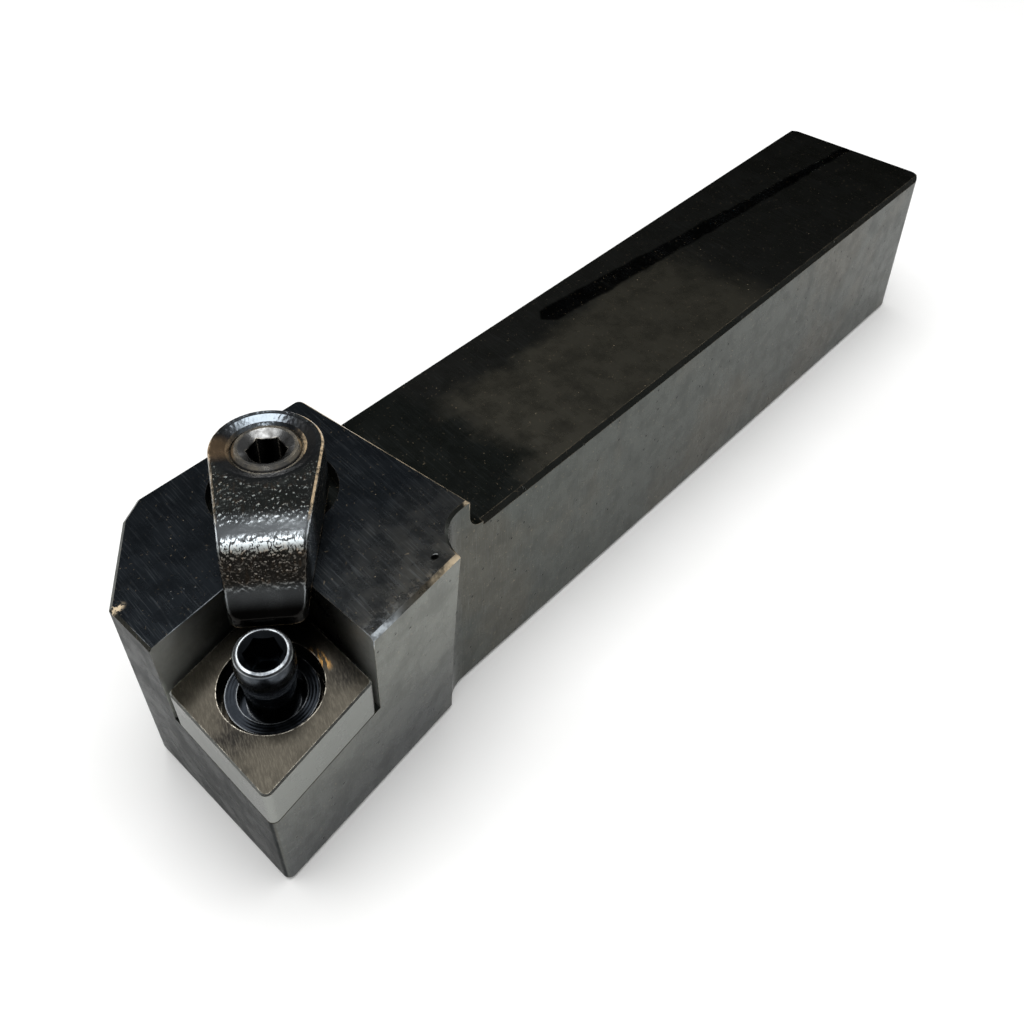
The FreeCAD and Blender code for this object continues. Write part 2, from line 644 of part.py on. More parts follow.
for body in (holder, shim, pin, clamp, screw):
    solid = body.Shape
    if not solid.isValid() or len(solid.Solids) != 1:
        raise RuntimeError("%s has no single valid solid" % body.Label)
    solid.exportStep("parts/%s.step" % body.Label)
    print(body.Label, "volume", round(solid.Volume, 2), "box", solid.BoundBox)
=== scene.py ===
import math

import bmesh
import bpy
from mathutils import Matrix, Quaternion, Vector


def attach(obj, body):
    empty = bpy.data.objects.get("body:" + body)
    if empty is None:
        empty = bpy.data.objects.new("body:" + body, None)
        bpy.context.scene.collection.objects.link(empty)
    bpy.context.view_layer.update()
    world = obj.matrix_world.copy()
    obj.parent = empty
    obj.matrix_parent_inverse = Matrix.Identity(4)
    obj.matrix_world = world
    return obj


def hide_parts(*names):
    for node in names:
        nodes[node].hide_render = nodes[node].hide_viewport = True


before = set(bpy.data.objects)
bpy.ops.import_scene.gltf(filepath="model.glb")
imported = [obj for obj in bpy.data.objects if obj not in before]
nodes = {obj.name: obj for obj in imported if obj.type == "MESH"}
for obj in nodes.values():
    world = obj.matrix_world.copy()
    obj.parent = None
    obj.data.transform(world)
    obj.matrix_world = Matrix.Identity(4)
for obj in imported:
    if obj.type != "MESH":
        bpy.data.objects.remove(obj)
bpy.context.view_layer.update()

# Each piece's dictionary holds what a user may change
# Lengths are in metres, turns in radians, colours are sRGB hex

# For each kind of node: its main setting, what it is given in order, and its usual output
nodeKinds = {
    "TexCoord": (None, (), "Object"),
    "NewGeometry": (None, (), "Normal"),
    "LightPath": (None, (), "Is Camera Ray"),
    "SeparateXYZ": (None, (0,), slice(3)),
    "Bevel": ("samples", ("Radius",), 0),
    "Mapping": ("vector_type", ("Vector", "Rotation", "Scale"), 0),
    "TexNoise": (None, ("Vector", "Scale", "Detail", "Roughness"), "Fac"),
    "TexVoronoi": (None, ("Vector", "Scale"), "Distance"),
    "MapRange": ("interpolation_type", ("Value", "From Min", "From Max", "To Min", "To Max"), 0),
    "Math": ("operation", (0, 1), 0),
    "VectorMath": ("operation", (0, 1), 0),
    "Mix": ("data_type", (0, 6, 7), 2),
    "Bump": (None, ("Height", "Distance", "Strength", "Normal"), 0),
    "Background": (None, ("Color", "Strength"), 0),
    "MixShader": (None, (0, 1, 2), 0),
    "OutputWorld": (None, ("Surface",), slice(0)),
}


def colour(hexText):
    levels = [int(hexText[i:i + 2], 16) / 255 for i in (0, 2, 4)]
    return tuple(v / 12.92 if v <= 0.04045 else ((v + 0.055) / 1.055) ** 2.4 for v in levels) + (1.0,)


def fill(tree, node, links):
    for key, value in links.items():
        if isinstance(value, bpy.types.NodeSocket):
            tree.links.new(value, node.inputs[key])
        else:
            node.inputs[key].default_value = value


# Adds one node with its settings and links, a pattern's scale as 1 / its size in metres
def addNode(tree, kind, *given, output=None):
    setting, sockets, usual = nodeKinds[kind]
    node = tree.nodes.new("ShaderNode" + kind)
    if setting:
        setattr(node, setting, given[0])
        given = given[1:]
    fill(tree, node, dict(zip(sockets, given)))
    return node.outputs[output or usual]


def newMaterial(name):
    material = bpy.data.materials.new(name)
    material.use_nodes = True
    tree = material.node_tree
    return material, tree, tree.nodes["Principled BSDF"]


# Where all the masks agree, or the strongest of them
def product(tree, first, *others):
    for other in others:
        first = addNode(tree, "Math", "MULTIPLY", first, other)
    return first


def most(tree, first, *others):
    for other in others:
        first = addNode(tree, "Math", "MAXIMUM", first, other)
    return first


# White above or below a limit, with a soft step
def above(tree, value, limit, soft):
    return addNode(tree, "MapRange", "SMOOTHSTEP", value, limit - soft, limit + soft)


def below(tree, value, limit, soft):
    return addNode(tree, "MapRange", "SMOOTHSTEP", value, limit - soft, limit + soft, 1.0, 0.0)


# White where the surface turns within the width
def edgeMask(tree, width, low=0.02, high=0.22):
    soft = addNode(tree, "Bevel", 6, width)
    straight = addNode(tree, "VectorMath", "DOT_PRODUCT", soft, addNode(tree, "NewGeometry"), output="Value")
    turned = addNode(tree, "Math", "SUBTRACT", 1.0, straight)
    return addNode(tree, "MapRange", "SMOOTHSTEP", turned, low, high)


# White round a point, black from the reach on
def spot(tree, vector, centre, reach, core=0.35):
    moved = addNode(tree, "VectorMath", "SUBTRACT", vector, centre)
    scaled = addNode(tree, "VectorMath", "DIVIDE", moved, reach)
    distance = addNode(tree, "VectorMath", "LENGTH", scaled, output="Value")
    return addNode(tree, "MapRange", "SMOOTHSTEP", distance, core, 1.0, 1.0, 0.0)


# Distance from an axis, for turned pieces and the clamp's eye
def ringDistance(tree, vector, centre, along):
    moved = addNode(tree, "VectorMath", "SUBTRACT", vector, centre)
    crossed = addNode(tree, "VectorMath", "CROSS_PRODUCT", moved, along)
    return addNode(tree, "VectorMath", "LENGTH", crossed, output="Value")


# Real grinding lines are finer than a pixel, so scratch is as coarse as it needs to be to show
holderLook = {
    "side": "50534F",
    "sideBrown": "57544B",
    "headTop": "3C4248",
    "headTopPaintedSheen": "7E7D77",
    "shankTop": "4A4B48",
    "shankTopHead": "3A3E3B",
    "shankTopOlive": "7A776B",
    "streak": "141516",
    "pitDark": "151616",
    "flankHighPaintedLight": "777973",
    "flankLowPaintedShade": "4A4D4D",
    "front": "373A3A",
    "seatWallPaintedLight": "E6E8E2",
    "bareMetalAndHighlight": "E2CDAC",
    "paleWearAndHighlight": "D3DCE3",
    "tintSide": "E8E8E8",
    "tintFront": "B8B8B8",
    "tintTop": "808080",
    "roughness": 0.27,
    "edgeWidth": 0.00022,
    "patch": 0.016,
    "grain": 0.0030,
    "scratch": 0.00016,
    "scratchTurn": (0, 0, 1.40),
    "cut": 0.00028,
    "cutTurn": (0.2, 0.5, 0.9),
    "crossTurn": (0.4, -0.4, -0.5),
    "pit": 0.0016,
    "mote": 0.0011,
    "topSplit": 0.0285,
    "headStart": 0.060,
    "headRear": 0.0586,
    "headNear": 0.0166,
    "headRimLow": 0.028,
    "rimQuietFrom": 0.0690,
    "rimQuietTo": 0.0755,
    "rimPaleFrom": 0.073,
    "sheenNear": 0.012,
    "sheenEnd": 0.080,
    "flankFrom": 0.0145,
    "flankMiddle": 0.012,
    "seatFrom": 0.070,
    "seatTo": 0.088,
    "seatNear": 0.009,
    "seatLow": 0.013,
    "farWallBright": 0.0865,
    "endWallBright": 0.0142,
    "shankNear": 0.0116,
    "shankHighlightLow": 0.024,
    "oliveFrom": -0.006,
    "oliveTo": 0.044,
    "oliveFar": -0.005,
    "streakStart": 0.020,
    "streakSlope": 0.089,
    "streakFar": 0.008,
    "streakHalf": 0.00175,
    "streakTaper": 0.014,
    "pitPlace": (0.0667, 0.0155, 0.0298),
    "pitReach": (0.00055, 0.00042, 0.001),
    "chipPlace": (0.0928, -0.0033, 0.0298),
    "chipReach": (0.0013, 0.0008, 0.001),
    "wallRimPlace": (0.0855, 0.0015, 0.0298),
    "wallRimReach": (0.012, 0.0032, 0.001),
}


# Masks for the holder's faces, by where they lie and where they point
def holderFaces(tree, look, at):
    x, y, z = addNode(tree, "SeparateXYZ", at)
    nx, ny, nz = addNode(tree, "SeparateXYZ", addNode(tree, "TexCoord", output="Normal"))
    up = above(tree, nz, 0.85, 0.1)
    headTop = product(tree, up, above(tree, z, look["topSplit"], 0.0005))
    shankTop = product(tree, up, below(tree, z, look["topSplit"], 0.0005))
    toNear = above(tree, ny, 0.8, 0.1)
    toFront = above(tree, nx, 0.8, 0.1)
    farWall = product(tree, toNear, below(tree, y, look["seatNear"], 0.001),
                      above(tree, x, look["seatFrom"], 0.001))
    endWall = product(tree, toFront, below(tree, x, look["seatTo"], 0.001),
                      above(tree, z, look["seatLow"], 0.001))
    return {
        "x": x,
        "y": y,
        "z": z,
        "nz": nz,
        "headTop": headTop,
        "shankTop": shankTop,
        "tops": most(tree, headTop, shankTop),
        "flank": product(tree, toNear, above(tree, y, look["flankFrom"], 0.001),
                         above(tree, x, look["headStart"], 0.002)),
        "front": product(tree, toFront, above(tree, x, look["seatTo"], 0.001)),
        "walls": most(tree, farWall, endWall),
        # Outer ends of the seat walls, where bright light is painted
        "paintedLightWallEnds": most(tree, product(tree, farWall, above(tree, x, look["farWallBright"], 0.006)),
                         product(tree, endWall, above(tree, y, look["endWallBright"], 0.0045))),
    }


# Shank top: olive patch in the middle, long dark streak with a ragged edge
def shankTopTone(tree, look, at, face, fine, drift):
    shifted = addNode(tree, "Math", "ADD", face["x"], drift)
    olive = product(tree, below(tree, shifted, look["oliveTo"], 0.003),
                    above(tree, shifted, look["oliveFrom"], 0.006),
                    above(tree, addNode(tree, "Math", "ADD", face["y"], drift), look["oliveFar"], 0.0025),
                    addNode(tree, "MapRange", "SMOOTHSTEP", fine, 0.2, 0.6, 0.6, 1.0))
    tone = addNode(tree, "Mix", "RGBA", above(tree, shifted, look["oliveTo"], 0.002),
                   colour(look["shankTop"]), colour(look["shankTopHead"]))
    tone = addNode(tree, "Mix", "RGBA", olive, tone, colour(look["shankTopOlive"]))
    back = addNode(tree, "Math", "SUBTRACT", look["streakStart"], face["x"])
    middle = addNode(tree, "Math", "SUBTRACT", product(tree, back, look["streakSlope"]), look["streakFar"])
    offset = addNode(tree, "Math", "ABSOLUTE", addNode(tree, "Math", "SUBTRACT", face["y"], middle))
    half = addNode(tree, "Math", "SUBTRACT", look["streakHalf"], product(tree, back, look["streakTaper"]))
    half = addNode(tree, "Math", "MINIMUM", half, product(tree, back, 1.1))
    ragged = addNode(tree, "Math", "SUBTRACT", addNode(tree, "TexNoise", at, 1 / 0.004, 4, 0.6), 0.5)
    ragged = product(tree, ragged, 0.0012)
    inside = addNode(tree, "Math", "SUBTRACT", addNode(tree, "Math", "ADD", half, ragged), offset)
    streak = product(tree, above(tree, inside, 0.0, 0.0003), above(tree, back, 0.0, 0.0006))
    return addNode(tree, "Mix", "RGBA", product(tree, streak, 0.9), tone, colour(look["streak"]))


# Tone of each face before wear, with painted light and shade: the near flank lighter high up and darker low
# down, the seat walls' outer ends bright
def holderTone(tree, look, at, face, broad, fine):
    drift = addNode(tree, "Math", "SUBTRACT", addNode(tree, "TexNoise", at, 1 / 0.010, 4, 0.6), 0.5)
    drift = product(tree, drift, 0.016)
    tone = addNode(tree, "Mix", "RGBA",
                   addNode(tree, "MapRange", "SMOOTHSTEP", broad, 0.45, 0.62, 0.0, 0.6),
                   colour(look["side"]), colour(look["sideBrown"]))
    height = addNode(tree, "Math", "ADD", face["z"], drift)
    # Painted reflection and shade: the near flank lighter towards the top, darker towards the bottom
    flankPaintedShading = addNode(tree, "Mix", "RGBA", above(tree, height, look["flankMiddle"], 0.011),
                        colour(look["flankLowPaintedShade"]), colour(look["flankHighPaintedLight"]))
    tone = addNode(tree, "Mix", "RGBA", face["flank"], tone, flankPaintedShading)
    tone = addNode(tree, "Mix", "RGBA", face["front"], tone, colour(look["front"]))
    # Painted light: the seat walls' outer ends painted bright, their inner corner left dark
    tone = addNode(tree, "Mix", "RGBA", face["paintedLightWallEnds"], tone, colour(look["seatWallPaintedLight"]))
    # Painted sheen: the head top painted lighter on its near side, back from its front
    topPaintedSheen = product(tree, above(tree, addNode(tree, "Math", "ADD", face["y"], drift), look["sheenNear"], 0.008),
                  below(tree, addNode(tree, "Math", "ADD", face["x"], drift), look["sheenEnd"], 0.012),
                  addNode(tree, "MapRange", "SMOOTHSTEP", fine, 0.3, 0.7, 0.4, 1.0))
    topTone = addNode(tree, "Mix", "RGBA", topPaintedSheen, colour(look["headTop"]), colour(look["headTopPaintedSheen"]))
    tone = addNode(tree, "Mix", "RGBA", face["headTop"], tone, topTone)
    tone = addNode(tree, "Mix", "RGBA", face["shankTop"], tone,
                   shankTopTone(tree, look, at, face, fine, drift))
    return addNode(tree, "Mix", "RGBA",
                   addNode(tree, "MapRange", "SMOOTHSTEP", fine, 0.35, 0.75, 0.0, 0.26), tone,
                   colour(look["streak"]))


# Grinding lines across the tops, upright ones on the sides
def grindingLines(tree, look, at, face):
    across = addNode(tree, "TexNoise",
                     addNode(tree, "Mapping", "TEXTURE", at, look["scratchTurn"], (26, 1, 1)),
                     1 / look["scratch"], 2, 0.55)
    upright = addNode(tree, "TexNoise", addNode(tree, "Mapping", "TEXTURE", at, (0, 0, 0), (1, 1, 18)),
                      1 / look["scratch"], 2, 0.55)
    return most(tree, product(tree, across, face["tops"]),
                product(tree, upright, addNode(tree, "Math", "SUBTRACT", 1.0, face["tops"])))


# Groups of pits on the sides, and one larger pit near the head's near edge
def holderPits(tree, look, at, face):
    dots = addNode(tree, "MapRange", "SMOOTHSTEP", addNode(tree, "TexVoronoi", at, 1 / look["pit"]),
                   0.05, 0.14, 1.0, 0.0)
    groups = addNode(tree, "MapRange", "SMOOTHSTEP", addNode(tree, "TexNoise", at, 1 / 0.006, 2, 0.55),
                     0.42, 0.54)
    scattered = product(tree, dots, groups, addNode(tree, "Math", "SUBTRACT", 1.0, face["tops"]),
                        addNode(tree, "Math", "SUBTRACT", 1.0, face["walls"]))
    return most(tree, scattered, spot(tree, at, look["pitPlace"], look["pitReach"], 0.6))


# Worn edges, the rear and near rims of the head most of all; the head's near rim and the shank's near top
# edge also carry painted highlights
def holderWear(tree, look, at, face):
    x, y, z, nz = face["x"], face["y"], face["z"], face["nz"]
    bevels = product(tree, above(tree, nz, 0.4, 0.1), below(tree, nz, 0.88, 0.05))
    nearRimWearAndHighlight = product(tree, above(tree, y, look["headNear"], 0.001),
                      above(tree, z, look["headRimLow"], 0.001))
    rearRim = product(tree, below(tree, x, look["headRear"], 0.0003),
                      above(tree, z, look["topSplit"], 0.0005))
    # Painted highlight: a light line along the shank's near top edge
    shankRimHighlight = product(tree, above(tree, y, look["shankNear"], 0.0003),
                       below(tree, x, look["headStart"], 0.001),
                       above(tree, z, look["shankHighlightLow"], 0.0004))
    wallRim = spot(tree, at, look["wallRimPlace"], look["wallRimReach"], 0.7)
    sharp = edgeMask(tree, look["edgeWidth"])
    kept = most(tree, rearRim, wallRim, product(tree, shankRimHighlight, 0.7), 0.12)
    ends = most(tree, above(tree, x, look["rimQuietTo"], 0.003),
                below(tree, x, look["rimQuietFrom"], 0.003))
    wearAndHighlight = most(tree, product(tree, sharp, kept, above(tree, nz, 0.4, 0.1)),
                product(tree, most(tree, sharp, bevels), rearRim),
                product(tree, nearRimWearAndHighlight, most(tree, sharp, bevels),
                        addNode(tree, "MapRange", "SMOOTHSTEP", ends, 0.0, 1.0, 0.25, 1.0)),
                product(tree, sharp, 0.12))
    broken = addNode(tree, "MapRange", "SMOOTHSTEP", addNode(tree, "TexNoise", at, 1 / 0.0016, 5, 0.7),
                     0.34, 0.60, 0.3, 1.0)
    rimWearAndHighlight = product(tree, face["headTop"], above(tree, y, look["headNear"], 0.0012),
                  addNode(tree, "MapRange", "SMOOTHSTEP",
                          addNode(tree, "TexNoise", at, 1 / 0.0009, 5, 0.75), 0.46, 0.66))
    chip = product(tree, spot(tree, at, look["chipPlace"], look["chipReach"]),
                   addNode(tree, "MapRange", "SMOOTHSTEP",
                           addNode(tree, "TexNoise", at, 1 / 0.0007, 3, 0.7), 0.48, 0.56))
    edge = most(tree, product(tree, wearAndHighlight, broken), product(tree, rimWearAndHighlight, 0.3), chip)
    motes = addNode(tree, "MapRange", "SMOOTHSTEP", addNode(tree, "TexVoronoi", at, 1 / look["mote"]),
                    0.03, 0.07, 1.0, 0.0)
    groups = addNode(tree, "MapRange", "SMOOTHSTEP", addNode(tree, "TexNoise", at, 1 / 0.005, 3, 0.55),
                     0.44, 0.58)
    dust = product(tree, motes, groups, face["tops"])
    bareAndHighlight = most(tree, product(tree, edge, 0.9), product(tree, dust, 0.6))
    # Painted highlight: the head's near rim pale bluish at its front end
    paleHighlightAndWear = most(tree, product(tree, nearRimWearAndHighlight, above(tree, x, look["rimPaleFrom"], 0.003)), wallRim)
    return bareAndHighlight, addNode(tree, "Mix", "RGBA", paleHighlightAndWear, colour(look["bareMetalAndHighlight"]), colour(look["paleWearAndHighlight"]))


# Alloy steel, ground and blackened: dark satin faces with fine lines, pale bare metal on the worn edges,
# painted highlights on the near rims
def blackenedSteel():
    look = holderLook
    material, tree, shader = newMaterial("BlackenedSteelGround")
    at = addNode(tree, "TexCoord")
    face = holderFaces(tree, look, at)
    broad = addNode(tree, "TexNoise", at, 1 / look["patch"], 4, 0.55)
    fine = addNode(tree, "TexNoise", at, 1 / look["grain"], 5, 0.62)
    tone = holderTone(tree, look, at, face, broad, fine)

    # Scratches, grinding lines and pits
    lines = grindingLines(tree, look, at, face)
    cuts = addNode(tree, "TexNoise", addNode(tree, "Mapping", "TEXTURE", at, look["cutTurn"], (18, 1, 1)),
                   1 / look["cut"], 2, 0.55)
    cross = addNode(tree, "TexNoise", addNode(tree, "Mapping", "TEXTURE", at, look["crossTurn"], (15, 1, 1)),
                    1 / look["cut"], 2, 0.55)
    rubbed = most(tree, addNode(tree, "MapRange", "SMOOTHSTEP", cuts, 0.69, 0.74),
                  addNode(tree, "MapRange", "SMOOTHSTEP", cross, 0.70, 0.75))
    tone = addNode(tree, "Mix", "RGBA",
                   product(tree, rubbed,
                           addNode(tree, "MapRange", "SMOOTHSTEP", face["tops"], 0.0, 1.0, 0.2, 0.4)),
                   tone, colour(look["bareMetalAndHighlight"]))
    ground = product(tree, addNode(tree, "MapRange", "SMOOTHSTEP", lines, 0.50, 0.72),
                     addNode(tree, "MapRange", "SMOOTHSTEP", broad, 0.3, 0.6, 0.2, 1.0),
                     addNode(tree, "MapRange", "SMOOTHSTEP", face["headTop"], 0.0, 1.0, 0.04, 0.13))
    tone = addNode(tree, "Mix", "RGBA", ground, tone, colour(look["paleWearAndHighlight"]))
    pits = holderPits(tree, look, at, face)
    tone = addNode(tree, "Mix", "RGBA", pits, tone, colour(look["pitDark"]))

    bareAndHighlight, bareAndHighlightTone = holderWear(tree, look, at, face)
    tint = addNode(tree, "Mix", "RGBA", face["front"], colour(look["tintSide"]), colour(look["tintFront"]))
    rough = addNode(tree, "Math", "ADD",
                    addNode(tree, "MapRange", "SMOOTHSTEP", fine, 0.3, 0.7, -0.05, 0.07), look["roughness"])
    relief = addNode(tree, "Bump", lines, 0.000009, 0.8)
    relief = addNode(tree, "Bump", most(tree, cuts, cross), 0.00001, 0.7, relief)
    fill(tree, shader, {
        "Base Color": addNode(tree, "Mix", "RGBA", bareAndHighlight, tone, bareAndHighlightTone),
        "Metallic": addNode(tree, "MapRange", "SMOOTHSTEP", bareAndHighlight, 0.0, 1.0, 1.0, 0.35),
        "Roughness": addNode(tree, "Math", "ADD", rough,
                             product(tree, most(tree, bareAndHighlight, face["paintedLightWallEnds"]), 0.16)),
        "Normal": addNode(tree, "Bump", addNode(tree, "Math", "SUBTRACT", 1.0, pits), 0.00008, 0.8, relief),
        "Specular Tint": addNode(tree, "Mix", "RGBA", face["tops"], tint, colour(look["tintTop"])),
    })
    return material


shimLook = {
    "carbide": "3A3731",
    "stain": "1B1A19",
    "brushed": "615D53",
    "chip": "DDD6C6",
    "rust": "B98F55",
    "side": "90928E",
    "tint": "DADADA",
    "roughness": 0.25,
    "edgeWidth": 0.00025,
    "grind": 0.00011,
    "grindTurn": 1.05,
    "cloud": 0.006,
    "stainPlace": (0.0920, 0.0118, 0.0218),
    "stainReach": (0.0046, 0.0038, 0.003),
    "stainBehind": (0.0790, 0.0150, 0.0230),
    "stainBehindReach": (0.0045, 0.0030, 0.003),
    "rustPlace": (0.0806, 0.0118, 0.0233),
    "rustReach": (0.0010, 0.0022, 0.002),
}


# Sintered carbide, ground: dark grey with a dull brushed shine, stained and chipped at the edges
# Its grinding lines are drawn coarser than the real grit, so that they show
def groundCarbide():
    look = shimLook
    material, tree, shader = newMaterial("CarbideGround")
    at = addNode(tree, "TexCoord")
    nz = addNode(tree, "SeparateXYZ", addNode(tree, "TexCoord", output="Normal"))[2]
    turn = (0, 0, look["grindTurn"])
    grind = addNode(tree, "TexNoise", addNode(tree, "Mapping", "TEXTURE", at, turn, (60, 1, 1)),
                    1 / look["grind"], 2, 0.55)
    stain = addNode(tree, "TexNoise", at, 1 / look["cloud"], 4, 0.6)
    top = above(tree, nz, 0.8, 0.1)
    clouds = most(tree, spot(tree, at, look["stainPlace"], look["stainReach"], 0.2),
                  spot(tree, at, look["stainBehind"], look["stainBehindReach"], 0.3))
    dirt = most(tree, addNode(tree, "MapRange", "SMOOTHSTEP", stain, 0.52, 0.68, 0.0, 0.6),
                product(tree, clouds, addNode(tree, "MapRange", "SMOOTHSTEP", stain, 0.36, 0.5, 0.3, 0.9)))
    tone = addNode(tree, "Mix", "RGBA", dirt, colour(look["carbide"]), colour(look["stain"]))
    tone = addNode(tree, "Mix", "RGBA",
                   addNode(tree, "MapRange", "SMOOTHSTEP", grind, 0.40, 0.72, 0.0, 0.28), tone,
                   colour(look["brushed"]))
    tone = addNode(tree, "Mix", "RGBA", top, colour(look["side"]), tone)
    smear = addNode(tree, "TexNoise", addNode(tree, "Mapping", "TEXTURE", at, turn, (9, 1, 1)),
                    1 / 0.0004, 2, 0.55)
    rust = product(tree, spot(tree, at, look["rustPlace"], look["rustReach"]),
                   addNode(tree, "MapRange", "SMOOTHSTEP", smear, 0.53, 0.60), top)
    tone = addNode(tree, "Mix", "RGBA", rust, tone, colour(look["rust"]))
    broken = addNode(tree, "MapRange", "SMOOTHSTEP", addNode(tree, "TexNoise", at, 1 / 0.0009, 4, 0.7),
                     0.40, 0.6, 0.05, 1.0)
    wearAndHighlight = product(tree, edgeMask(tree, look["edgeWidth"]), broken)
    fill(tree, shader, {
        "Base Color": addNode(tree, "Mix", "RGBA", wearAndHighlight, tone, colour(look["chip"])),
        "Metallic": addNode(tree, "MapRange", "SMOOTHSTEP", wearAndHighlight, 0.0, 1.0, 1.0, 0.6),
        "Roughness": addNode(tree, "Math", "ADD",
                             addNode(tree, "MapRange", "SMOOTHSTEP", stain, 0.3, 0.7, -0.05, 0.08),
                             look["roughness"]),
        "Normal": addNode(tree, "Bump", grind, 0.000004, 0.7),
        "Specular Tint": colour(look["tint"]),
    })
    return material


pinLook = {
    "steel": "454A50",
    "sootAndShade": "1E2124",
    "worn": "E0E5E8",
    "collar": "202327",
    "inside": "121314",
    "collarStart": 0.0034,
    "socket": 0.0017,
    "wearStart": 0.0022,
    "shadeBelow": 0.0054,
    "rimStart": 0.00238,
    "rimEnd": 0.0032,
    "rimShare": 0.5,
    "collarWear": 0.25,
    "roughness": 0.18,
    "edgeWidth": 0.0003,
    "ringPitch": 0.00034,
    "centre": (0.085363, 0.009963, 0.016316),
    "along": (0.103962, 0.103962, 0.989132),
    "threadRadius": 0.00295,
    "threads": [{"low": -0.00745, "high": 0.00275, "pitch": 0.0010, "hand": 1}],
}
screwLook = {
    "steel": "A5A6A6",
    "sootAndShade": "3A3835",
    "worn": "EBE0CB",
    "collar": "4A4B4B",
    "inside": "121314",
    "collarStart": 0.0037,
    "socket": 0.0021,
    "wearStart": 0.0021,
    "shadeBelow": -0.0005,
    "rimStart": 0.0031,
    "rimEnd": 0.0037,
    "rimShare": 0.8,
    "collarWear": 1.0,
    "roughness": 0.22,
    "edgeWidth": 0.0003,
    "ringPitch": 0.00045,
    "centre": (0.0708, -0.005, 0.030),
    "along": (0, 0, 1),
    "threadRadius": 0.00395,
    "threads": [
        {"low": -0.01785, "high": -0.0032, "pitch": 0.00125, "hand": 1},
        {"low": -0.0012, "high": 0.0055, "pitch": 0.00125, "hand": -1},
    ],
}


# Alloy steel, turned and blackened: a worn rim with a painted highlight, a collar with turning rings, and
# painted shade on the collar, on the part sunk in its hole and in the socket
# The rings are wider apart than a real finishing cut leaves them, so that they show
def turnedSteel(name, look):
    material, tree, shader = newMaterial(name)
    at = addNode(tree, "TexCoord")
    nz = addNode(tree, "SeparateXYZ", addNode(tree, "TexCoord", output="Normal"))[2]
    fine = addNode(tree, "TexNoise", at, 1 / 0.0012, 4, 0.6)
    distance = ringDistance(tree, at, look["centre"], look["along"])
    moved = addNode(tree, "VectorMath", "SUBTRACT", at, look["centre"])
    height = addNode(tree, "VectorMath", "DOT_PRODUCT", moved, look["along"], output="Value")
    rings = addNode(tree, "Math", "SINE", product(tree, distance, 2 * math.pi / look["ringPitch"]))
    outside = above(tree, distance, look["socket"], 0.0001)
    collar = above(tree, distance, look["collarStart"], 0.00005)
    # Painted shade: the collar and the part below shadeBelow, which sit in a hole, are painted dark
    holeShade = most(tree, collar, below(tree, height, look["shadeBelow"], 0.0002))
    # Painted highlight with wear: a bright band round the upward-facing rim
    rimWearAndHighlight = product(tree, above(tree, distance, look["rimStart"], 0.0001),
                  below(tree, distance, look["rimEnd"], 0.0001), above(tree, nz, 0.35, 0.25),
                  addNode(tree, "MapRange", "SMOOTHSTEP", addNode(tree, "TexNoise", at, 1 / 0.0022, 4, 0.6),
                          0.38, 0.60, 0.15, 1.0),
                  above(tree, height, look["shadeBelow"], 0.0002), look["rimShare"])
    wearAndHighlight = product(tree, edgeMask(tree, look["edgeWidth"]),
                   addNode(tree, "MapRange", "SMOOTHSTEP", fine, 0.3, 0.55, 0.5, 1.0),
                   above(tree, distance, look["wearStart"], 0.0001),
                   addNode(tree, "MapRange", "SMOOTHSTEP", holeShade, 0.0, 1.0, 1.0, look["collarWear"]))
    tone = addNode(tree, "Mix", "RGBA", addNode(tree, "MapRange", "SMOOTHSTEP", fine, 0.35, 0.75, 0.0, 0.8),
                   colour(look["steel"]), colour(look["sootAndShade"]))
    # Painted shade: the inside of the socket is painted near-black
    tone = addNode(tree, "Mix", "RGBA", outside, colour(look["inside"]), tone)
    tone = addNode(tree, "Mix", "RGBA", holeShade, tone, colour(look["collar"]))
    relief = addNode(tree, "Bump", fine, 0.000006, 0.5)
    fill(tree, shader, {
        "Base Color": addNode(tree, "Mix", "RGBA", most(tree, wearAndHighlight, rimWearAndHighlight), tone, colour(look["worn"])),
        "Metallic": addNode(tree, "MapRange", "SMOOTHSTEP", wearAndHighlight, 0.0, 1.0, 1.0, 0.7),
        "Roughness": addNode(tree, "Math", "ADD",
                             addNode(tree, "MapRange", "SMOOTHSTEP", fine, 0.3, 0.7, -0.05, 0.1),
                             look["roughness"]),
        "Normal": addNode(tree, "Bump", product(tree, rings, collar, above(tree, nz, 0.8, 0.1)), 0.000006,
                          0.6, relief),
    })
    return material


clampLook = {
    "scale": "5A5E5C",
    "paintedGlintBronze": "8A6C4A",
    "bend": "E0E8EE",
    "eye": "4A4D50",
    "eyeRearHighlight": "8D969E",
    "eyeSideHighlight": "D2B18C",
    "nose": "3A2E24",
    # Painted reflection: the grey of the tip
    "smooth": "8E9294",
    "sootAndShade": "1B1A19",
    "worn": "E6CBA4",
    "roughness": 0.22,
    "edgeWidth": 0.0003,
    "pebble": 0.00038,
    "pebbleDepth": 0.00024,
    "turn": math.radians(47),
    "bendFrom": 0.0114,
    "bendTo": 0.0144,
    "noseFrom": 0.0153,
    "tipFrom": 0.0177,
    "lipFrom": 0.0186,
    "edgeTo": 0.0118,
    "edgeFrom": 0.0035,
    "eyePlace": (0.0708, -0.005, 0.036),
    "eyeEdge": (0.0052, 0.0064),
    "rearHighlightPlace": (0.0676, -0.0096, 0.036),
    "rearHighlightReach": (0.0052, 0.0038, 0.004),
    "sideHighlightPlace": (0.0748, -0.0086, 0.036),
    "sideHighlightReach": (0.0026, 0.0026, 0.004),
}
